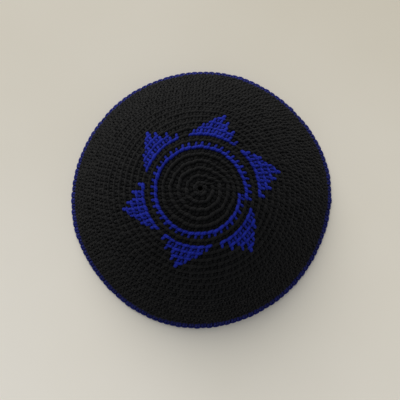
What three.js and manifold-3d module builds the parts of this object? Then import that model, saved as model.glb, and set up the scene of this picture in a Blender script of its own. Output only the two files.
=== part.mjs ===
// A crocheted kippah, lying dome-up on its rim. Millimetres, +Z up.
// The origin is midway between the rim's extremes, on the surface that the rim rests on.
// Angles are clockwise seen from above, in degrees from +Y, because the spiral is worked that way.
import * as THREE from "three";
import { LoftGeometry } from "three/addons/geometries/LoftGeometry.js";
import { mergeVertices } from "three/addons/utils/BufferGeometryUtils.js";
import Module from "manifold-3d";

const wasm = await Module();
wasm.setup();

// The cap's own size.
const RIM_RADIUS = 85.6;
const CAP_HEIGHT = 50;
const WALL = 3;
const HOLE_RADIUS = 1.3; // the ring that the first stitches are worked into
const CROWN_MIDDLE = { x: -0.74, y: 0.84 }; // the spiral begins a little off the middle of the rim

// The rounds. One spiral of stitches grows clockwise; a place along it is a round number.
const SPIRAL_START = 96; // degrees: where each round begins
const STEP_POWER = 5; // a round runs nearly level, and steps out near where it begins and ends
const CROWN_ROUNDS = 23;
const RING_ROUND = 6; // the round worked in blue
const RING_ARC = 25.8; // from the crown's centre to the middle of that round, over the dome
const INNER_PITCH = 4.57; // one round to the next, inside the ring
const OUTER_PITCH = 4.18; // and outside it
const SWAY = 1; // that round sits this far off the middle, and those on both sides less and less
const SWAY_TOWARDS = 225; // degrees
const SWAY_END_ARC = 40; // from the crown's centre to the first round that is true
const VALLEY = 0.7; // depth of the groove between two rounds

// The blue stitches are pieces of their own, let into pockets of the crown.
const INLAY_DEPTH = 1.5;
const GAP = 0.3; // clear space between two pieces
const CUT_LIFT = 2; // how far a pocket's cutter stands proud of the crown

// The ring runs a little past one whole turn.
const RING_ENDS = { from: 96, to: 462.5 };

// The rows of one star point, from its base to its tip.
const POINT_ROWS = [
  { round: 8, stitches: 7, stitchAngle: 7.2 },
  { round: 9, stitches: 5, stitchAngle: 6.8 },
  { round: 10, stitches: 3, stitchAngle: 5.4 },
  { round: 11, stitches: 1, stitchAngle: 6.4 },
];
const POINT_MIDDLES = [135, 194, 251.5, 312.7, 373.5, 432.2]; // degrees, of each base row
const POINT_LEAN = 0.9; // degrees that each row's middle moves on from the row before
const ROW_OVERLAP = 1; // how far a row runs in under the row inside it

// The rim is a little out of round. Each row is one wave of it, as a share of the radius.
const OUT_OF_ROUND = [
  { waves: 1, share: 0.0096, phase: -135 },
  { waves: 2, share: 0.0085, phase: -117 },
  { waves: 3, share: 0.0037, phase: 148 },
  { waves: 4, share: 0.0048, phase: 5 },
  { waves: 6, share: 0.003, phase: -110 },
];

// How finely the surfaces are divided.
const COLUMNS = 52;
const INNER_ROWS = 10;
const STRIP_STEP = 7; // degrees, about one stitch
const MERGE_DISTANCE = 1e-3;

// The section of the blue round that finishes the rim: down is the share of the way from the crown's lower
// edge to the ground, and depth is how far below the cap's outside.
const EDGING_SECTION = [
  { down: 0, depth: 0.7 },
  { down: 0.3, depth: 0.1 },
  { down: 0.65, depth: 0 },
  { down: 0.9, depth: 0.15 },
  { down: 1, depth: 0.6 },
  { down: 1, depth: 2.5 },
  { down: 0.85, depth: 3 },
  { down: 0, depth: 2.9 },
];

const CURVE_RADIUS = (RIM_RADIUS ** 2 + CAP_HEIGHT ** 2) / (2 * CAP_HEIGHT);
const CURVE_CENTRE = CAP_HEIGHT - CURVE_RADIUS;
const CROWN_ARC = RING_ARC + (CROWN_ROUNDS + 0.5 - RING_ROUND) * OUTER_PITCH;

const radians = THREE.MathUtils.degToRad;
const clamp = THREE.MathUtils.clamp;

// The arc, from the crown's centre over the outside, at which the wall comes down to height 0 at a depth.
function rimArc(depth) {
  return CURVE_RADIUS * Math.acos(-CURVE_CENTRE / (CURVE_RADIUS - depth));
}

// A point of the wall, by its angle, its arc from the crown's centre and its depth below the outside.
function capPoint(angle, arc, depth) {
  const slope = arc / CURVE_RADIUS;
  const reach = CURVE_RADIUS - depth;
  let round = 1;
  for (const { waves, share, phase } of OUT_OF_ROUND) {
    round += share * Math.cos(radians(waves * angle + phase)) * (arc / rimArc(0)) ** 2;
  }
  const out = reach * Math.sin(slope) * round;
  return new THREE.Vector3(
    CROWN_MIDDLE.x + out * Math.sin(radians(angle)),
    CROWN_MIDDLE.y + out * Math.cos(radians(angle)),
    reach * Math.cos(slope) + CURVE_CENTRE,
  );
}

// The arc of a round at an angle. The middle of a round is its whole number, the grooves are at the halves,
// and an angle a whole turn further on gives the round after it.
function roundArc(round, angle) {
  const turns = (angle - SPIRAL_START) / 360;
  const wholeTurns = Math.floor(turns);
  const step = (2 * (turns - wholeTurns) - 1) ** STEP_POWER / 2;
  const past = round + wholeTurns + step - RING_ROUND;
  const arc = RING_ARC + past * (past < 0 ? INNER_PITCH : OUTER_PITCH);
  const fade = past < 0 ? arc / RING_ARC : (SWAY_END_ARC - arc) / (SWAY_END_ARC - RING_ARC);
  return arc + SWAY * clamp(fade, 0, 1) * Math.cos(radians(angle - SWAY_TOWARDS));
}

// A solid lofted through sections that follow each other clockwise round the cap. Each section runs from
// the crown's side outwards along the top and back underneath, so it is turned round to face outwards.
function loftedSolid(sections, caps = false) {
  const turned = sections.map((section) => section.toReversed());
  const geometry = new LoftGeometry(turned, { capStart: caps, capEnd: caps });
  const bare = new THREE.BufferGeometry();
  bare.setAttribute("position", geometry.getAttribute("position"));
  bare.setIndex(geometry.index);
  const merged = mergeVertices(bare, MERGE_DISTANCE);
  const vertProperties = merged.attributes.position.array;
  const triVerts = new Uint32Array(merged.index.array);
  return new wasm.Manifold(new wasm.Mesh({ numProp: 3, vertProperties, triVerts }));
}

// A solid as a mesh in its own node.
function meshOf(name, solid, material) {
  const { vertProperties, triVerts } = solid.getMesh();
  const geometry = new THREE.BufferGeometry();
  geometry.setAttribute("position", new THREE.BufferAttribute(vertProperties, 3));
  geometry.setIndex(new THREE.BufferAttribute(triVerts, 1));
  geometry.computeVertexNormals();
  const mesh = new THREE.Mesh(geometry, material);
  mesh.name = name;
  return mesh;
}

// The crown's wall, ribbed outside by the spiral of rounds and smooth inside. Its first and last sections
// are the same, because a turn of the spiral moves every round one place on.
function crownWall() {
  const sections = [];
  for (let column = 0; column <= COLUMNS; column++) {
    const angle = SPIRAL_START + (column * 360) / COLUMNS;
    const section = [];
    for (let half = 0; half <= 2 * (CROWN_ROUNDS + 1); half++) {
      const arc = clamp(roundArc(half / 2, angle), HOLE_RADIUS, CROWN_ARC);
      const fromEdge = Math.min(arc - HOLE_RADIUS, CROWN_ARC - arc);
      const isGroove = half % 2 === 1;
      const depth = isGroove ? VALLEY * clamp(fromEdge / (OUTER_PITCH / 2), 0, 1) : 0;
      section.push(capPoint(angle, arc, depth));
    }
    for (let row = 0; row <= INNER_ROWS; row++) {
      const arc = THREE.MathUtils.lerp(CROWN_ARC, HOLE_RADIUS, row / INNER_ROWS);
      section.push(capPoint(angle, arc, WALL));
    }
    sections.push(section);
  }
  return loftedSolid(sections);
}

// A band along one round, from one angle to another. Its sides and ends stand out by the margin, or in if
// it is less than 0; its top is ribbed as the crown is, or lifted clear of the crown to cut a pocket.
function roundBand(round, { from, to }, { margin, lift = 0, depth, reachIn = 0 }) {
  const perDegree = radians(1) * CURVE_RADIUS * Math.sin(roundArc(round, from) / CURVE_RADIUS);
  const start = from - margin / perDegree;
  const end = to + margin / perDegree;
  const steps = Math.round((to - from) / STRIP_STEP) || 1;
  const sections = [];
  for (let step = 0; step <= steps; step++) {
    const angle = THREE.MathUtils.lerp(start, end, step / steps);
    const inner = roundArc(round - 0.5, angle) - margin - reachIn;
    const outer = roundArc(round + 0.5, angle) + margin;
    sections.push([
      capPoint(angle, inner, VALLEY - lift),
      capPoint(angle, roundArc(round, angle), -lift),
      capPoint(angle, outer, VALLEY - lift),
      capPoint(angle, outer, depth),
      capPoint(angle, inner, depth),
    ]);
  }
  return loftedSolid(sections, true);
}

// An inlay and its pocket each give up half the gap between them.
const INLAY = { margin: -GAP / 2, depth: INLAY_DEPTH };
const POCKET = { margin: GAP / 2, lift: CUT_LIFT, depth: INLAY_DEPTH + GAP };

function starRing(fit) {
  return roundBand(RING_ROUND, RING_ENDS, fit);
}

// One star point: a stack of rows, each shorter than the one inside it.
function starPoint(middle, fit) {
  let point;
  POINT_ROWS.forEach(({ round, stitches, stitchAngle }, row) => {
    const rowMiddle = middle + row * POINT_LEAN;
    const half = (stitches * stitchAngle) / 2;
    const ends = { from: rowMiddle - half, to: rowMiddle + half };
    const band = roundBand(round, ends, { ...fit, reachIn: row ? ROW_OVERLAP : 0 });
    point = point ? point.add(band) : band;
  });
  return point;
}

// The rim's blue round, with a flat underside for the cap to rest on.
function edging() {
  const top = CROWN_ARC + GAP;
  const sections = [];
  for (let column = 0; column <= COLUMNS; column++) {
    const angle = (column * 360) / COLUMNS;
    sections.push(
      EDGING_SECTION.map(({ down, depth }) =>
        capPoint(angle, THREE.MathUtils.lerp(top, rimArc(depth), down), depth),
      ),
    );
  }
  return loftedSolid(sections);
}

const blackCotton = new THREE.MeshStandardMaterial({
  color: new THREE.Color(0.02, 0.02, 0.021),
  roughness: 0.9,
  metalness: 0,
});
const blueCotton = new THREE.MeshStandardMaterial({
  color: new THREE.Color(0.025, 0.035, 0.38),
  roughness: 0.85,
  metalness: 0,
});

const kippah = new THREE.Group();
kippah.name = "kippah";

let crown = crownWall().subtract(starRing(POCKET));
for (const middle of POINT_MIDDLES) crown = crown.subtract(starPoint(middle, POCKET));
kippah.add(meshOf("crown", crown, blackCotton));

kippah.add(meshOf("star_ring", starRing(INLAY), blueCotton));
POINT_MIDDLES.forEach((middle, index) => {
  kippah.add(meshOf(`star_point_${index + 1}`, starPoint(middle, INLAY), blueCotton));
});
kippah.add(meshOf("edging", edging(), blueCotton));

export default kippah;
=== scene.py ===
# %% [markdown]
# # A crocheted kippah
#
# The real cap is one long spiral of single crochet in cotton yarn. It starts at a small loop in the
# middle of the crown and winds clockwise down to the rim. A round of blue and six stepped triangles
# are worked in as it grows, and a last blue round finishes the edge.
#
# The imported CAD model is the frame of this scene: plain solids that hold the cap's size, place and
# mass. This lesson dresses them in yarn, stitch by stitch. The frame is loaded first, and the box
# round it is kept, because the cap's size is read from it.

# %% Load the frame
import copy
import math

import bmesh
import bpy
import numpy as np
from mathutils import Matrix, Vector


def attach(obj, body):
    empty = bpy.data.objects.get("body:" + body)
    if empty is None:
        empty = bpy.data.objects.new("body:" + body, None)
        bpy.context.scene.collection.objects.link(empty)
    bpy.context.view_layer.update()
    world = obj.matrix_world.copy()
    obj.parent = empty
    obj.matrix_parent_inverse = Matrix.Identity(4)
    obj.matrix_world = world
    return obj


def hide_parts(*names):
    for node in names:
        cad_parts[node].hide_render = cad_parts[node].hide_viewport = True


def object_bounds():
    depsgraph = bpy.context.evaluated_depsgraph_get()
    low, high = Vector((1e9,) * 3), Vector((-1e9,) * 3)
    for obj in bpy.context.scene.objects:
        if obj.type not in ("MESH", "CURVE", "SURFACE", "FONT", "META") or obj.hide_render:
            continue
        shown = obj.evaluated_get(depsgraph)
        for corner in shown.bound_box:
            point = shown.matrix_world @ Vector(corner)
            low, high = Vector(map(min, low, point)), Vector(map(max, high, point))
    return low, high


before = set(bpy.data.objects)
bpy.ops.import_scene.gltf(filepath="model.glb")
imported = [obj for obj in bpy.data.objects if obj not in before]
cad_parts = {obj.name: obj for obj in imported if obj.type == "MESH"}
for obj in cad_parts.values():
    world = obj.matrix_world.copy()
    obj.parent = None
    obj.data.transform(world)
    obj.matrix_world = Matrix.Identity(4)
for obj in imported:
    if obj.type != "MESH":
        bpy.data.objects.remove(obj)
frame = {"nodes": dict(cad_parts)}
cad_low, cad_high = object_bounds()
print("the solids:", ", ".join(frame["nodes"]))
print("the cap's box in metres:", tuple(cad_low), tuple(cad_high))

# %% [markdown]
# ## The cap's curve
#
# A skullcap like this is a shallow cap cut from a ball. Two lengths give the whole curve: the radius
# of the rim and the height of the crown. Both are read from the frame, so the yarn lies on the same
# curve as the solids. The hand-made rim isn't a true circle. A few slow waves, the same as in the
# solids, push it in and out, and they fade towards the crown's middle.
#
# A place on the cloth is given by three numbers: an angle, clockwise from +Y as the spiral is worked,
# an arc over the dome from the crown's middle, and a depth under the outside. The spiral began a
# little off the middle of the finished rim, so the crown's middle isn't quite at the origin. Lengths
# are in millimetres, as a crocheter measures, and become metres when a point is placed.

# %% Bend a flat place onto the cap
MM = 0.001

CROWN_MIDDLE = (-0.74, 0.84, 0.0)  # where the spiral begins

# waves round the rim, their share of the radius, and where they begin in degrees
OUT_OF_ROUND = [(1, 0.0096, -135), (2, 0.0085, -117), (3, 0.0037, 148), (4, 0.0048, 5), (6, 0.003, -110)]


def waving(angle):
    """The share of the radius by which the rim is out of round at some angles, in degrees."""
    turned = np.radians(angle)
    return sum(share * np.cos(waves * turned + math.radians(begin)) for waves, share, begin in OUT_OF_ROUND)


# the box reaches to the waves, so their mean in its four directions is taken off the radius
box_radius = (cad_high.x - cad_low.x + cad_high.y - cad_low.y) / 4 / MM
RIM_RADIUS = box_radius / (1 + np.mean(waving([0, 90, 180, 270])))
CAP_HEIGHT = (cad_high.z - cad_low.z) / MM
CURVE_RADIUS = (RIM_RADIUS**2 + CAP_HEIGHT**2) / (2 * CAP_HEIGHT)
CURVE_CENTRE = CAP_HEIGHT - CURVE_RADIUS
RIM_ARC = CURVE_RADIUS * math.acos(-CURVE_CENTRE / CURVE_RADIUS)


def on_the_cap(angle, arc, depth):
    """Points in metres, from angles in degrees, and arcs and depths in millimetres."""
    turned = np.radians(angle)
    reach = CURVE_RADIUS - depth
    out = reach * np.sin(arc / CURVE_RADIUS) * (1 + waving(angle) * (arc / RIM_ARC) ** 2)
    height = reach * np.cos(arc / CURVE_RADIUS) + CURVE_CENTRE
    from_middle = np.stack([out * np.sin(turned), out * np.cos(turned), height], axis=-1)
    return (from_middle + CROWN_MIDDLE) * MM


print(f"rim radius {RIM_RADIUS:.1f} mm, height {CAP_HEIGHT:.1f} mm, over the dome {RIM_ARC:.1f} mm")

# %% [markdown]
# ## One spiral of rounds
#
# The rounds aren't closed rings. After a whole turn the yarn is one round further down the cap, so a
# place on the cap needs a single number: the degrees travelled since the spiral began. The cloth
# pulls each round nearly level, and the step out to the next one is taken near the place where the
# rounds begin. An odd power gives this path, flat in the middle and steep at both ends. In the small
# rounds near the middle the step is shorter and is taken sooner. The blue ring sits a little off the
# middle, and the rounds inside it are slightly taller than those outside.
#
# A round made by hand also wanders. Three slow waves, which don't fall in step from one turn to the
# next, push it in and out by up to a fifth of a millimetre, and by up to half a millimetre in the
# tight rounds inside the ring. The first stitches can't come closer to the middle than the loop that
# they are worked into, and the edging holds the last round level.

# %% Follow the spiral
SPIRAL_START = 96.0  # degrees, where every round begins
ROUNDS = 23
RING_ROUND = 6  # the round worked in blue
RING_ARC = 25.8  # from the middle of the crown to that round
INNER_PITCH = 4.57  # one round to the next, inside the ring
OUTER_PITCH = 4.18  # and outside it
STEP_POWER = 5  # the higher this odd number, the shorter the step
SMALL_ROUNDS = 4  # the first rounds
SMALL_STEP_POWER = 15
EARLY_STEP = 38.0  # degrees by which the first steps are taken sooner
EARLY_FADE = 540.0  # degrees before the ring, over which that comes to an end
SWAY = 1.0  # the ring is this far off the middle, and the rounds on both sides less and less
SWAY_TOWARDS = 225.0  # degrees
SWAY_END_ARC = 40.0  # from the middle of the crown to the first round that is true
WANDER_WAVES = [(4.3, 0.5), (7.7, 2.1), (12.9, 4.4)]  # waves in a turn, and where they begin in radians
WANDER_ROUNDS = [-5, -4, -2, 0]  # rounds, counted outwards from the ring
WANDER_REACH = [0.0, 0.16, 0.16, 0.07]  # how far a wave pushes them; past the ring it stays the same
FIRST_ARC = 3.1  # where the first loop stops the first stitches
LAST_ARC = 95.9  # where the edging holds the last round


def along_spiral(round_number, angle):
    """Degrees along the whole spiral, from a round and an angle in it."""
    return 360.0 * (round_number - 1) + angle


RING_START = along_spiral(RING_ROUND, SPIRAL_START)
FIRST_STITCH = SPIRAL_START - EARLY_STEP


def spiral_arc(travelled):
    """The arc from the middle of the crown to the ridge of stitches."""
    sooner = EARLY_STEP * np.clip((RING_START - travelled) / EARLY_FADE, 0, 1)
    turns = (travelled + sooner - SPIRAL_START) / 360
    whole_turns = np.floor(turns)
    power = np.where(whole_turns < SMALL_ROUNDS, SMALL_STEP_POWER, STEP_POWER)
    step = (2 * (turns - whole_turns) - 1) ** power / 2
    past_ring = 1 + whole_turns + step - RING_ROUND
    arc = RING_ARC + past_ring * np.where(past_ring < 0, INNER_PITCH, OUTER_PITCH)
    inside = arc / RING_ARC
    outside = (SWAY_END_ARC - arc) / (SWAY_END_ARC - RING_ARC)
    sway = SWAY * np.clip(np.minimum(inside, outside), 0, 1)
    level = arc + sway * np.cos(np.radians(travelled - SWAY_TOWARDS))
    wander = sum(np.sin(waves * np.radians(travelled) + begin) for waves, begin in WANDER_WAVES)
    return np.clip(level + wander * np.interp(past_ring, WANDER_ROUNDS, WANDER_REACH), FIRST_ARC, LAST_ARC)


SPIRAL_END = along_spiral(ROUNDS, SPIRAL_START + 360)
FINE_STEP = 0.5  # degrees, close enough to measure along the ridge
steps = np.arange(FIRST_STITCH, SPIRAL_END + FINE_STEP, FINE_STEP)
step_points = on_the_cap(steps, spiral_arc(steps), 0.0) / MM
step_lengths = np.linalg.norm(np.diff(step_points, axis=0), axis=1)
walked = np.concatenate([[0.0], np.cumsum(step_lengths)])
print(f"the ridge of the spiral is {walked[-1] / 1000:.2f} m long")

# %% [markdown]
# ## The chart
#
# A crocheter works a pattern like this from a chart that gives the colour of each stitch. Here the
# chart is written by working along the spiral: so many stitches of one colour up to a place, then
# the next colour. The first rounds and the ring are counted, and each has five to nine stitches more
# than the one before. Elsewhere the cap takes as many even stitches as fit. Each blue triangle is a
# row of seven stitches, then five, three and one in the rounds after it.

# %% Work the chart
STITCH = 4.15  # the usual width of a stitch
FIRST_ROUNDS = [8, 13, 20, 28, 36]  # stitches in each
RING_STITCHES = 45
RING_END = along_spiral(RING_ROUND, 462.5)  # a little past one whole turn
POINT_ROWS = [(8, 7, 7.2), (9, 5, 6.8), (10, 3, 5.4), (11, 1, 6.4)]  # round, stitches, degrees of each
POINT_MIDDLES = [135.0, 194.0, 251.5, 312.7, 373.5, 432.2]  # degrees, of the rows of seven
POINT_LEAN = 0.9  # each row's middle is this much further on than the last one's

chart = []


def work_up_to(end, piece, stitches=None):
    """Adds even stitches to the chart, from its last one up to a place on the spiral."""
    start = chart[-1][1] if chart else FIRST_STITCH
    first, last = np.interp([start, end], steps, walked)
    count = stitches or max(1, round((last - first) / STITCH))
    edges = np.interp(np.linspace(first, last, count + 1), walked, steps)
    chart.extend((edges[i], edges[i + 1], piece) for i in range(count))


for number, count in enumerate(FIRST_ROUNDS, start=1):
    work_up_to(along_spiral(number + 1, SPIRAL_START), "crown", count)
work_up_to(RING_END, "star_ring", RING_STITCHES)
for row, (number, count, degrees) in enumerate(POINT_ROWS):
    for point, middle in enumerate(POINT_MIDDLES, start=1):
        row_middle = along_spiral(number, middle + row * POINT_LEAN)
        work_up_to(row_middle - count * degrees / 2, "crown")
        work_up_to(row_middle + count * degrees / 2, f"star_point_{point}", count)
work_up_to(SPIRAL_END, "crown")

stitch_from = np.array([stitch[0] for stitch in chart])
stitch_to = np.array([stitch[1] for stitch in chart])
stitch_piece = np.array([stitch[2] for stitch in chart])
print(len(chart), "stitches, of which", np.count_nonzero(stitch_piece != "crown"), "are blue")

# %% [markdown]
# ## A length of yarn
#
# Everything you see on the cap is yarn that rises out of the cloth, bends and dives back in. A curve
# with a round bevel could make it, but a mesh can carry a map of the yarn for its twist, and it can
# be copied thousands of times. So a short length is made once: a circle is extruded from point to
# point along a path, turned to follow it, and closed at both ends. Its map runs along the yarn in
# millimetres and round it in turns. The seam of the map is kept underneath, where it doesn't show.
#
# A path's points are in the stitch's own directions: along the round, outwards to the rim, and up
# from the cloth, where 0 is the outside of the cap. Each point also has the yarn's radius there.

# %% Make one length of yarn
UP = Vector((0, 0, 1))


class YarnLength:
    """One short closed length of yarn, as arrays that are ready to be copied."""

    def __init__(self, path, sides):
        self.path = np.array(path, dtype=float)
        form = bmesh.new()
        side_of = form.verts.layers.int.new("side")
        step_of = form.verts.layers.int.new("step")
        circle = bmesh.ops.create_circle(form, segments=sides, radius=1.0)["verts"]
        for side, vert in enumerate(circle):
            vert[side_of] = side
        placed = self.place(0)
        bmesh.ops.transform(form, matrix=placed, verts=circle)
        open_end = list(form.edges)
        for step in range(1, len(path)):
            made = bmesh.ops.extrude_edge_only(form, edges=open_end)["geom"]
            circle = [part for part in made if isinstance(part, bmesh.types.BMVert)]
            open_end = [part for part in made if isinstance(part, bmesh.types.BMEdge)]
            for vert in circle:
                vert[step_of] = step
            turn = self.place(step) @ placed.inverted()
            bmesh.ops.transform(form, matrix=turn, verts=circle)
            placed = self.place(step)
        bmesh.ops.holes_fill(form, edges=form.edges, sides=sides)
        bmesh.ops.recalc_face_normals(form, faces=form.faces)
        self.read(form, side_of, step_of, sides)
        form.free()

    def place(self, step):
        """Puts the unit circle at a step of the path, facing along it, with its first point down."""
        before = Vector(self.path[max(step - 1, 0), :3])
        after = Vector(self.path[min(step + 1, len(self.path) - 1), :3])
        ahead = (after - before).normalized()
        across = ahead.cross(UP).normalized()
        below = ahead.cross(across)
        turned = Matrix((across, below, ahead)).transposed().to_4x4()
        *middle, radius = self.path[step]
        return Matrix.Translation(middle) @ turned @ Matrix.Scale(radius, 4)

    def read(self, form, side_of, step_of, sides):
        """Keeps the finished form as arrays, with the map of the yarn."""
        form.verts.index_update()
        lengths = np.linalg.norm(np.diff(self.path[:, :3], axis=0), axis=1)
        along = np.concatenate([[0.0], np.cumsum(lengths)])
        self.points = np.array([vert.co for vert in form.verts])
        self.spine = np.array([self.path[vert[step_of], :3] for vert in form.verts])
        self.sizes = np.array([len(face.verts) for face in form.faces])
        corners = []
        yarn_map = []
        for face in form.faces:
            crosses_seam = sides - 1 in [vert[side_of] for vert in face.verts]
            for vert in face.verts:
                side = vert[side_of]
                if side == 0 and crosses_seam:
                    side = sides
                corners.append(vert.index)
                yarn_map.append((along[vert[step_of]], side / sides))
        self.corners = np.array(corners)
        self.yarn_map = np.array(yarn_map)


# %% [markdown]
# ## What one stitch shows
#
# In this cap every stitch is worked into the back half of the one below, so its front half stays on
# the surface. The front halves lie end over end like the strands of a rope, and make the ridges that
# wind round the cap. From each of them the post of the stitch runs out towards the rim, across the
# valley and up against the next ridge. Between two posts the foot of a stitch of the next round goes
# down into the cloth. Each of the three is one length of yarn with a path of its own, shaped by a
# few points where the yarn bends.

# %% Shape the parts of a stitch
# each point is along the round, outwards, up, and the yarn's radius
front_loop = YarnLength(
    [
        (-2.70, -0.05, -2.00, 0.60),
        (-1.90, 0.02, -1.42, 1.00),
        (-0.70, 0.15, -1.17, 1.17),
        (0.70, 0.33, -1.17, 1.17),
        (1.90, 0.50, -1.42, 1.00),
        (2.70, 0.58, -2.00, 0.60),
    ],
    sides=8,
)
post = YarnLength(
    [
        (0.75, 0.60, -1.80, 0.70),
        (0.95, 1.50, -1.42, 0.98),
        (1.20, 2.40, -1.32, 0.98),
        (1.42, 3.20, -1.40, 0.90),
        (1.60, 3.95, -1.95, 0.60),
    ],
    sides=7,
)
foot = YarnLength(
    [
        (-1.20, 1.20, -2.00, 0.75),
        (-1.00, 2.10, -1.66, 0.98),
        (-0.80, 3.10, -1.60, 0.95),
        (-0.60, 3.90, -1.85, 0.65),
    ],
    sides=7,
)
for name, part in (("front loop", front_loop), ("post", post), ("foot", foot)):
    print(f"a {name} has {len(part.points)} points and {len(part.sizes)} faces")

# %% [markdown]
# ## Work the stitches
#
# The cap has more than seventeen hundred stitches. Placing objects one by one would be slow, and a
# modifier's array can't follow a spiral over a dome. So the arrays of one yarn length are repeated
# for all the stitches at once: each copy is stretched to its stitch's width, then bent onto the cap.
# Hands don't make two stitches alike, so each copy is also moved, thickened and toned a little, by
# chance with a fixed seed. Two attributes go with the mesh for the yarn's colour: a tone for each
# stitch, and a height, because the high points are rubbed, and the low ones aren't rubbed and are
# given painted shade.

# %% Lay many copies of a length of yarn
hands = np.random.default_rng(seed=18)
SHIFT_BY_HAND = np.array([0.14, 0.12, 0.08])  # along, outwards, up
THICKNESS_BY_HAND = 0.06
MAP_START = 10.0  # millimetres, the most by which a stitch's map of the yarn is moved along


class StitchesByHand:
    """Where a set of stitches lie, and the chance differences between them."""

    def __init__(self, start, end, ridge):
        self.start = np.asarray(start)[:, None]
        self.end = np.asarray(end)[:, None]
        self.ridge = ridge
        count = len(start)
        self.shift = hands.normal(0, 1, (count, 1, 3)) * SHIFT_BY_HAND
        self.thickness = 1 + hands.normal(0, THICKNESS_BY_HAND, (count, 1, 1))
        self.tone = hands.uniform(0, 1, count)
        self.map_start = hands.uniform(0, MAP_START, count)

    def only(self, chosen):
        """Some of the stitches, with their differences kept."""
        some = copy.copy(self)
        for name in ("start", "end", "shift", "thickness", "tone", "map_start"):
            setattr(some, name, getattr(self, name)[chosen])
        return some

    def lay(self, length, sink=0.0):
        """The copies of one yarn length: points, face corners, face sizes, map, tone and height."""
        own = length.spine + (length.points - length.spine) * self.thickness + self.shift
        own[..., 2] -= sink
        travelled = self.start + (self.end - self.start) * (own[..., 0] / STITCH + 0.5)
        arc = self.ridge(travelled) + own[..., 1]
        points = on_the_cap(travelled, arc, -own[..., 2])
        copies = np.arange(len(self.start))[:, None]
        corners = length.corners + copies * len(length.points)
        sizes = np.tile(length.sizes, len(self.start))
        moved_along = np.stack([self.map_start, self.map_start * 0], axis=-1)
        yarn_map = length.yarn_map + moved_along[:, None, :]
        tone = np.repeat(self.tone, len(length.points))
        height = own[..., 2]
        return points.reshape(-1, 3), corners.ravel(), sizes, yarn_map.reshape(-1, 2), tone, height.ravel()


def put_on_the_cap(name, mesh, finish, stands_for):
    """Makes a mesh one piece of the scene, riding on the cap's body."""
    mesh.shade_smooth()
    mesh.materials.append(finish)
    piece = bpy.data.objects.new(name, mesh)
    bpy.context.scene.collection.objects.link(piece)
    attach(piece, "root")
    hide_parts(*stands_for)
    mesh.calc_loop_triangles()
    print(name, len(mesh.polygons), "faces,", len(mesh.loop_triangles), "triangles")


def yarn_piece(name, laid, finish, stands_for):
    """One piece from any number of laid copies."""
    numbered = 0
    for points, corners, *_ in laid:
        corners += numbered  # the points of all the copies are numbered on in one mesh
        numbered += len(points)
    points, corners, sizes, yarn_map, tone, height = map(np.concatenate, zip(*laid))
    mesh = bpy.data.meshes.new(name)
    mesh.vertices.add(len(points))
    mesh.vertices.foreach_set("co", points.ravel())
    mesh.loops.add(len(corners))
    mesh.loops.foreach_set("vertex_index", corners)
    mesh.polygons.add(len(sizes))
    mesh.polygons.foreach_set("loop_start", np.concatenate([[0], np.cumsum(sizes)[:-1]]))
    mesh.update(calc_edges=True)
    mesh.uv_layers.new(name="yarn")
    mesh.uv_layers["yarn"].uv.foreach_set("vector", yarn_map.ravel())
    mesh.attributes.new("tone", "FLOAT", "POINT").data.foreach_set("value", tone)
    mesh.attributes.new("height", "FLOAT", "POINT").data.foreach_set("value", height)
    put_on_the_cap(name, mesh, finish, stands_for)


# %% [markdown]
# ## Shader sums in Python
#
# A finish is easier to read as a sum than as a screen full of nodes. A small class wraps a node's
# output, and its operators add the Math nodes. One other call adds any kind of node.

# %% Write shader maths as expressions
class Wire:
    """One output of a node. Sums written with it add Math nodes."""

    def __init__(self, finish, socket):
        self.finish = finish
        self.socket = socket

    def maths(self, operation, *values):
        return self.finish.node("ShaderNodeMath", {"operation": operation}, dict(enumerate(values)))

    def __add__(self, other):
        return self.maths("ADD", self, other)

    __radd__ = __add__

    def __mul__(self, other):
        return self.maths("MULTIPLY", self, other)

    __rmul__ = __mul__

    def __sub__(self, other):
        return self.maths("SUBTRACT", self, other)

    def __rsub__(self, other):
        return self.maths("SUBTRACT", other, self)

    def fraction(self):
        return self.maths("FRACT", self)

    def clamped(self):
        return self.finish.node("ShaderNodeClamp", {}, {"Value": self})

    def other(self, name):
        """Another output of the same node."""
        return Wire(self.finish, self.socket.node.outputs[name])


class Finish:
    """A material that is written node by node."""

    def __init__(self, name):
        self.material = bpy.data.materials.new(name)
        self.material.use_nodes = True
        self.tree = self.material.node_tree
        self.tree.nodes.clear()

    def node(self, kind, settings, sockets):
        """Adds a node: its settings first, then the values or links of its sockets."""
        made = self.tree.nodes.new(kind)
        for setting, value in settings.items():
            setattr(made, setting, value)
        for socket, value in sockets.items():
            if isinstance(value, Wire):
                self.tree.links.new(value.socket, made.inputs[socket])
            else:
                made.inputs[socket].default_value = value
        shown = [output for output in made.outputs if output.enabled]
        return Wire(self, shown[0]) if shown else None

    def attribute(self, name):
        return self.node("ShaderNodeAttribute", {"attribute_name": name}, {}).other("Fac")

    def blend(self, share, first, second):
        """A colour between two, by a share. The Mix node's colours are its sockets 6 and 7."""
        return self.node("ShaderNodeMix", {"data_type": "RGBA"}, {0: share, 6: first, 7: second})
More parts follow.
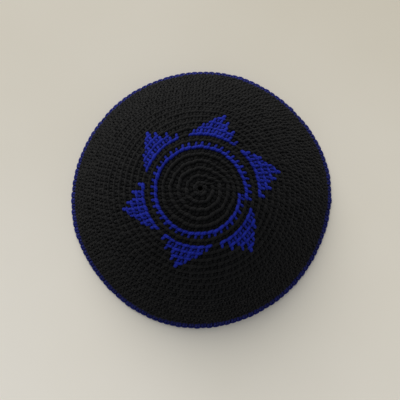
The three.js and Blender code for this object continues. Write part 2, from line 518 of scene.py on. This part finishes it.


# %% [markdown]
# ## Cotton yarn
#
# Crochet cotton is several thin plies twisted together. The twist shows as slanting grooves along
# each strand, and every ply has fine fibres of its own. On the map of the yarn a ply is a slanted
# stripe, so one sum gives the stripe and another its round top, and they feed a bump. The colour is
# almost even. It is a little lighter where the high points are rubbed, darker where shade is painted
# on the yarn deep in the cloth, and each stitch takes its own tone. Cotton has no gloss, but its
# fibres catch light that grazes it, which the shader's sheen does.

# %% Finish the cotton
PLIES = 3.0
PLY_TURN = 5.0  # millimetres of yarn for one whole turn of a ply
FIBRES_ROUND = 24  # how close the fibres lie round the yarn
FIBRES_ALONG = 0.8  # how soon they change along it
FIBRES_SLANT = 5  # how far they turn round it on the way
# yarn this low gets the full painted shade, the darkest colour
DEEPEST = -1.5  # height from the outside: yarn as low as this is deep in the cloth
TOPMOST = -0.25  # and yarn as high as this is at the top
RUBBED_BY_HEIGHT = 0.55  # how much each of these makes the yarn look rubbed
RUBBED_BY_STITCH = 0.35
RUBBED_BY_FIBRE = 0.6
RUBBED_BY_PATCH = 0.5
ROUGHNESS = 0.95
RUBBED_SMOOTHER = 0.2  # rubbed yarn is this much less rough
PLY_RELIEF = 0.7  # shares of the bump's height
FIBRE_RELIEF = 0.5


def cotton(name, painted_shade, usual, rubbed):
    """A cotton yarn in three shades of one colour, the darkest of them painted shade on the low yarn."""
    finish = Finish(name)
    on_yarn = finish.node("ShaderNodeUVMap", {"uv_map": "yarn"}, {})
    along = finish.node("ShaderNodeSeparateXYZ", {}, {0: on_yarn})
    around = along.other("Y")
    stripe = (around * PLIES + along * (PLIES / PLY_TURN)).fraction()
    off_middle = stripe * 2 - 1
    ply = 1 - off_middle * off_middle
    in_fibres = {0: along * FIBRES_ALONG, 1: around * FIBRES_ROUND + along * FIBRES_SLANT}
    on_fibres = finish.node("ShaderNodeCombineXYZ", {}, in_fibres)
    fibres = finish.node("ShaderNodeTexNoise", {}, {"Vector": on_fibres, "Scale": 1.6, "Detail": 4.0})
    in_place = finish.node("ShaderNodeTexCoord", {}, {}).other("Object")
    patches = finish.node("ShaderNodeTexNoise", {}, {"Vector": in_place, "Scale": 60.0, "Detail": 3.0})
    near_top = ((finish.attribute("height") - DEEPEST) * (1 / (TOPMOST - DEEPEST))).clamped()
    by_stitch = near_top * RUBBED_BY_HEIGHT + finish.attribute("tone") * RUBBED_BY_STITCH
    by_fibre = (fibres - 0.5) * RUBBED_BY_FIBRE + (patches - 0.5) * RUBBED_BY_PATCH
    worn = (by_stitch + by_fibre).clamped()
    # painted shade: yarn low in the cloth is blended towards the darkest colour
    shade = finish.blend(near_top, painted_shade, finish.blend(worn, usual, rubbed))
    grain = ply * PLY_RELIEF + fibres * FIBRE_RELIEF
    bump = finish.node("ShaderNodeBump", {}, {"Height": grain, "Strength": 0.9, "Distance": 0.0004})
    surface = finish.node(
        "ShaderNodeBsdfPrincipled",
        {},
        {
            "Base Color": shade,
            "Roughness": ROUGHNESS - worn * RUBBED_SMOOTHER,
            "Normal": bump,
            "Specular IOR Level": 0.15,
            "Sheen Weight": 0.03,
            "Sheen Roughness": 0.45,
        },
    )
    finish.node("ShaderNodeOutputMaterial", {}, {"Surface": surface})
    print(name, "is written in", len(finish.tree.nodes), "nodes")
    return finish.material


# %% [markdown]
# ## Three cottons
#
# The crown's yarn is a soft black, and the ring and the points are a deep blue. The edging is the
# same blue, but its tall stitches turn down to the table, so their shades are darker, with that
# shade painted into the colour. One material with a mask could hold all the colours. A material for
# each is simpler, because every piece is of one yarn, and its three shades stay easy to change.

# %% Dye the cotton
black_cotton = cotton(
    "black cotton",
    painted_shade=(0.0020, 0.0022, 0.0026, 1),
    usual=(0.0034, 0.0035, 0.0039, 1),
    rubbed=(0.0044, 0.0045, 0.0049, 1),
)
blue_cotton = cotton(
    "blue cotton",
    painted_shade=(0.0010, 0.0020, 0.04, 1),
    usual=(0.0026, 0.0080, 0.170, 1),
    rubbed=(0.0055, 0.0145, 0.265, 1),
)
# the same blue with painted shade: darker shades for the edging, whose stitches turn down to the table
edging_cotton_in_painted_shade = cotton(
    "edging cotton in painted shade",
    painted_shade=(0.0010, 0.0016, 0.03, 1),
    usual=(0.0030, 0.0060, 0.095, 1),
    rubbed=(0.0050, 0.0100, 0.150, 1),
)

# %% [markdown]
# ## The crown, the ring and the points
#
# All the stitches of the spiral are set out together, so a blue stitch sits in its row exactly as
# its black neighbours do. Then they are shared out by the chart. A foot lies between two rounds, and
# it is blue only where both are. The last black round shows its loops alone, because the posts and
# feet beside it are the edging's. The black stitches are two objects, the top of the crown and its
# side, because one object would have too many faces to pass on whole.

# %% Work the outside of the crown
SIDE_ROUND = 17  # the side of the crown begins with this round
BLACK_SINK = 0.15  # a black post lies deeper than a blue one, which is padded by the black yarn inside it
TIGHT_SINK = 0.35  # and deeper again in the tight rounds inside the ring
TIGHT_FADE = 20.0  # degrees before the ring, over which that comes to an end
POINT_LIFT = 0.2  # the points are worked tightly, so their posts stand nearly as high as their loops
FLAT_LIFT = 0.45  # towards the rim the cloth is stretched, and the posts come up level with the loops
FLAT_FROM = along_spiral(9, SPIRAL_START)
FLAT_BY = along_spiral(15, SPIRAL_START)
stitches = StitchesByHand(stitch_from, stitch_to, spiral_arc)
is_crown = stitch_piece == "crown"
is_top = stitch_to < along_spiral(SIDE_ROUND, SPIRAL_START)
stitch_middle = (stitch_from + stitch_to) / 2
is_last = stitch_middle > along_spiral(ROUNDS, SPIRAL_START)

# the stitch that lies outside each one is a whole turn further on, and none is outside the last round
outside_of = np.searchsorted(stitch_to, stitch_middle + 360)
piece_outside = np.append(stitch_piece, "crown")[outside_of]
foot_piece = np.where(piece_outside == stitch_piece, stitch_piece, "crown")


def show(chosen, chosen_feet, sink):
    """Front loops and posts of the chosen stitches, and feet of the stitches chosen for them."""
    parts = [stitches.only(chosen).lay(front_loop)]
    for which, part in ((chosen & ~is_last, post), (chosen_feet & ~is_last, foot)):
        some = stitches.only(which)
        tight = np.clip((RING_START - some.start) / TIGHT_FADE, 0, 1)
        stretched = np.clip((some.start - FLAT_FROM) / (FLAT_BY - FLAT_FROM), 0, 1)
        parts.append(some.lay(part, sink + TIGHT_SINK * tight - FLAT_LIFT * stretched))
    return parts


for name, here in (("crown_top", is_top), ("crown_side", ~is_top)):
    laid = show(here & is_crown, here & (foot_piece == "crown"), BLACK_SINK)
    yarn_piece(f"{name}_stitches", laid, black_cotton, ["crown"])
for node in sorted(set(stitch_piece[~is_crown])):
    laid = show(stitch_piece == node, foot_piece == node, 0.0 if node == "star_ring" else -POINT_LIFT)
    yarn_piece(f"{node}_stitches", laid, blue_cotton, [node])

# %% [markdown]
# ## The inside of the crown
#
# Turned over, each stitch shows as two short legs that meet, with a bar across them. A smooth wall
# with a picture of stitches would be less work, but it would look flat as soon as the cap is turned.
# So the inside is laid from the same stitches as the outside. Its lengths of yarn are thin and have
# few faces, and a stitch that is blue outside is blue inside too.

# %% Work the inside of the crown
inner_leg_left = YarnLength(
    [
        (-1.70, -1.90, -2.15, 0.35),
        (-1.15, -0.80, -2.50, 0.55),
        (-0.50, 0.50, -2.50, 0.55),
        (-0.20, 1.50, -2.15, 0.35),
    ],
    sides=5,
)
inner_leg_right = YarnLength(
    [
        (1.80, -1.90, -2.15, 0.35),
        (1.30, -0.80, -2.48, 0.52),
        (0.60, 0.50, -2.48, 0.52),
        (0.20, 1.50, -2.15, 0.35),
    ],
    sides=5,
)
inner_bar = YarnLength(
    [
        (-2.10, 1.50, -2.20, 0.35),
        (-1.00, 1.85, -2.50, 0.52),
        (1.00, 1.95, -2.50, 0.52),
        (2.10, 1.60, -2.20, 0.35),
    ],
    sides=5,
)
inner_parts = [inner_leg_left, inner_leg_right, inner_bar]
for colour, chosen, finish in (("black", is_crown, black_cotton), ("blue", ~is_crown, blue_cotton)):
    laid = [stitches.only(chosen).lay(part) for part in inner_parts]
    yarn_piece(f"inside_{colour}_stitches", laid, finish, ["crown"])

# %% [markdown]
# ## The heart of the cloth
#
# Between the outer loops and the inner legs, real stitches are packed so tightly that no light comes
# through. To model that yarn would be slow, and none of it would be seen, so a thin dark shell stands
# for it. A flat grid of angles and arcs is bent onto the cap, its two ends are joined, and it is
# given a thickness.

# %% Fill the middle of the cloth
HEART_DEPTH = 1.95
HEART_THICKNESS = 0.3
HEART_FIRST_ARC = 1.7
HEART_LAST_ARC = 101.3
HEART_COLUMNS = 180
HEART_ROWS = 60
TOUCHING = 0.01  # points closer together than this are made one

form = bmesh.new()
bmesh.ops.create_grid(form, x_segments=HEART_COLUMNS, y_segments=HEART_ROWS, size=0.5)
angles = np.array([(vert.co.x + 0.5) * 360 for vert in form.verts])
shares = np.array([vert.co.y + 0.5 for vert in form.verts])
arcs = HEART_FIRST_ARC + shares * (HEART_LAST_ARC - HEART_FIRST_ARC)
for vert, place in zip(form.verts, on_the_cap(angles, arcs, HEART_DEPTH)):
    vert.co = place
bmesh.ops.remove_doubles(form, verts=form.verts, dist=TOUCHING * MM)
bmesh.ops.recalc_face_normals(form, faces=form.faces)
bmesh.ops.solidify(form, geom=form.faces, thickness=HEART_THICKNESS * MM)
heart_mesh = bpy.data.meshes.new("crown_heart")
form.to_mesh(heart_mesh)
form.free()
put_on_the_cap("crown_heart", heart_mesh, black_cotton, ["crown"])

# %% [markdown]
# ## The loop in the middle
#
# The first eight stitches are worked into a small loop of yarn that is drawn tight. It still shows
# as a rim round the hole in the middle of the crown. A torus would look too even beside the yarn, so
# the loop is laid like a round of stitches, from short strands that lie end over end.

# %% Draw up the first loop
LOOP_ARC = 2.15
LOOP_STRANDS = 8
loop_strand = YarnLength(
    [
        (-2.50, 0.00, -1.50, 0.70),
        (-1.20, 0.00, -1.10, 0.92),
        (1.20, 0.00, -1.10, 0.92),
        (2.50, 0.00, -1.50, 0.70),
    ],
    sides=6,
)
loop_edges = np.linspace(0, 360, LOOP_STRANDS + 1)
first_loop = StitchesByHand(loop_edges[:-1], loop_edges[1:], lambda travelled: LOOP_ARC)
yarn_piece("first_loop", [first_loop.lay(loop_strand)], black_cotton, ["crown"])

# %% [markdown]
# ## The blue edging
#
# The last round is blue, closed and taller than the others, so it makes a wide band. A post and a
# foot for each of its stitches show below the last black ridge. Its top is a chain of slanting loops
# that wraps the rim, an outer loop and an inner one for each stitch. A plain blue tube would be
# quicker, but beside worked rounds it would look like piping. The cap rests on this chain, so no
# point of it may lie under the table's surface.

# %% Edge the rim
EDGING_ARC = 102.0
EDGING_STITCHES = 133
edging_post = YarnLength(
    [
        (0.50, -5.40, -2.00, 0.70),
        (0.70, -4.40, -1.40, 0.98),
        (0.90, -3.10, -1.15, 1.04),
        (1.10, -1.80, -1.15, 1.04),
        (1.30, -0.60, -1.55, 0.75),
    ],
    sides=7,
)
edging_foot = YarnLength(
    [
        (-1.40, -5.30, -2.10, 0.70),
        (-1.20, -4.30, -1.55, 0.98),
        (-1.00, -3.00, -1.35, 1.02),
        (-0.80, -1.80, -1.35, 1.02),
        (-0.60, -0.60, -1.75, 0.75),
    ],
    sides=7,
)
outer_chain = YarnLength(
    [
        (-2.60, -0.50, -1.90, 0.50),
        (-1.90, -0.36, -1.25, 0.90),
        (-0.90, -0.14, -0.95, 1.06),
        (0.20, 0.08, -0.92, 1.08),
        (1.20, 0.30, -1.05, 1.02),
        (1.95, 0.45, -1.40, 0.85),
        (2.60, 0.55, -1.95, 0.45),
    ],
    sides=8,
)
inner_chain = YarnLength(
    [
        (-2.40, -0.20, -2.00, 0.40),
        (-1.50, -0.30, -2.20, 0.70),
        (0.00, -0.40, -2.20, 0.78),
        (1.50, -0.50, -2.20, 0.70),
        (2.40, -0.60, -2.00, 0.40),
    ],
    sides=6,
)
edging_edges = np.linspace(SPIRAL_START, SPIRAL_START + 360, EDGING_STITCHES + 1)
edging = StitchesByHand(edging_edges[:-1], edging_edges[1:], lambda travelled: EDGING_ARC)
laid = [edging.lay(part) for part in (edging_post, edging_foot, outer_chain, inner_chain)]
for points, *_ in laid:
    points[:, 2] = np.maximum(points[:, 2], 0)
yarn_piece("edging_stitches", laid, edging_cotton_in_painted_shade, ["edging"])

# %% [markdown]
# ## The table
#
# The cap lies on a plain pale surface. Its colour is even at first sight, but painted shade makes it
# warmer and deeper towards the back and a little to the right, and it is slightly mottled. A single
# face does for it, with the painted shade and the mottle in its material. It is far larger than the
# cap, so that a low view sees its edge only as a horizon.

# %% Lay the table
TABLE_REACH = 15.0  # metres from its middle to each side
# painted shade on the table, growing towards the right and the back, as shares per metre
PAINTED_SHADE_TO_RIGHT = 0.6  # per metre
PAINTED_SHADE_TO_BACK = 1.6
DEEPER_BY_MOTTLE = 0.5
DEEPER_IN_MIDDLE = 0.3
table = Finish("pale table")
on_table = table.node("ShaderNodeTexCoord", {}, {}).other("Object")
mottle = table.node("ShaderNodeTexNoise", {}, {"Vector": on_table, "Scale": 4.0, "Detail": 4.0})
right = table.node("ShaderNodeSeparateXYZ", {}, {0: on_table})
painted_shade_by_place = right.other("Y") * PAINTED_SHADE_TO_BACK + right * PAINTED_SHADE_TO_RIGHT
painted_shade_and_mottle = (painted_shade_by_place + mottle * DEEPER_BY_MOTTLE + DEEPER_IN_MIDDLE).clamped()
# the first colour is the table's own pale colour, the second the warmer, deeper painted shade
pale = table.blend(painted_shade_and_mottle, (0.85, 0.825, 0.77, 1), (0.58, 0.53, 0.42, 1))
table_top = table.node("ShaderNodeBsdfPrincipled", {}, {"Base Color": pale, "Roughness": 0.6})
table.node("ShaderNodeOutputMaterial", {}, {"Surface": table_top})

form = bmesh.new()
bmesh.ops.create_grid(form, x_segments=1, y_segments=1, size=TABLE_REACH)
table_mesh = bpy.data.meshes.new("table")
form.to_mesh(table_mesh)
form.free()
table_mesh.materials.append(table.material)
table_object = bpy.data.objects.new("table", table_mesh)
bpy.context.scene.collection.objects.link(table_object)
print("the table is", 2 * TABLE_REACH, "m wide, with", len(table_mesh.polygons), "face")

# %% [markdown]
# ## The light
#
# Daylight comes in low from a window at the upper left. A lamp at one place would burn out the table
# near it, so the window is a sun lamp with a very wide disc, which gives the same soft light
# everywhere. An even sky fills the shadows.

# %% Light it
TOWARDS_WINDOW = Vector((-0.9, 2.8, 1.6))
window = bpy.data.lights.new("window", "SUN")
window.angle = math.radians(56)  # as wide as a large window seen from the cap
window.energy = 3.1
window.color = (1.0, 0.98, 0.94)
window_object = bpy.data.objects.new("window", window)
window_object.rotation_euler = TOWARDS_WINDOW.to_track_quat("Z", "Y").to_euler()
bpy.context.scene.collection.objects.link(window_object)
window_height = math.degrees(math.atan2(TOWARDS_WINDOW.z, TOWARDS_WINDOW.xy.length))
print(f"the middle of the window is {window_height:.0f} degrees above the table")

sky = bpy.data.worlds.new("sky")
sky.use_nodes = True
sky.node_tree.nodes["Background"].inputs["Color"].default_value = (0.95, 0.97, 1.0, 1)
sky.node_tree.nodes["Background"].inputs["Strength"].default_value = 0.44
bpy.context.scene.world = sky
bpy.context.scene.view_settings.view_transform = "Standard"

# %% [markdown]
# ## The camera
#
# The photograph was taken from almost straight above. From close by, the crown looks larger against
# the rim than from far away, so the distance matters as well as the lens. The lens is worked out from
# how many pixels a metre covers when it is a metre away. Turning the camera could put the cap in its
# place in the picture, but a small shift of the lens does it and leaves the view straight.

# %% Set up the camera
CAMERA_ELEVATION = math.radians(84.7)
CAMERA_DISTANCE = 0.38
PHOTO_SIDE = 400  # pixels
FOCAL_PIXELS = 577  # what a metre covers when it is a metre away
MIDDLE_IN_PHOTO = (200.3, 196.35)  # where the table under the crown's middle is in the photograph

camera = bpy.data.cameras.new("camera")
camera.sensor_width = 36.0
camera.lens = camera.sensor_width * FOCAL_PIXELS / PHOTO_SIDE
camera.shift_x = (PHOTO_SIDE / 2 - MIDDLE_IN_PHOTO[0]) / PHOTO_SIDE
camera.shift_y = (MIDDLE_IN_PHOTO[1] - PHOTO_SIDE / 2) / PHOTO_SIDE
camera_object = bpy.data.objects.new("camera", camera)
back = Vector((0, -math.cos(CAMERA_ELEVATION), math.sin(CAMERA_ELEVATION)))
camera_object.location = Vector(CROWN_MIDDLE) * MM + back * CAMERA_DISTANCE
camera_object.rotation_euler = (-back).to_track_quat("-Z", "Y").to_euler()
bpy.context.scene.collection.objects.link(camera_object)
bpy.context.scene.camera = camera_object
print(f"a {camera.lens:.1f} mm lens, {CAMERA_DISTANCE / MM:.0f} mm from the table")
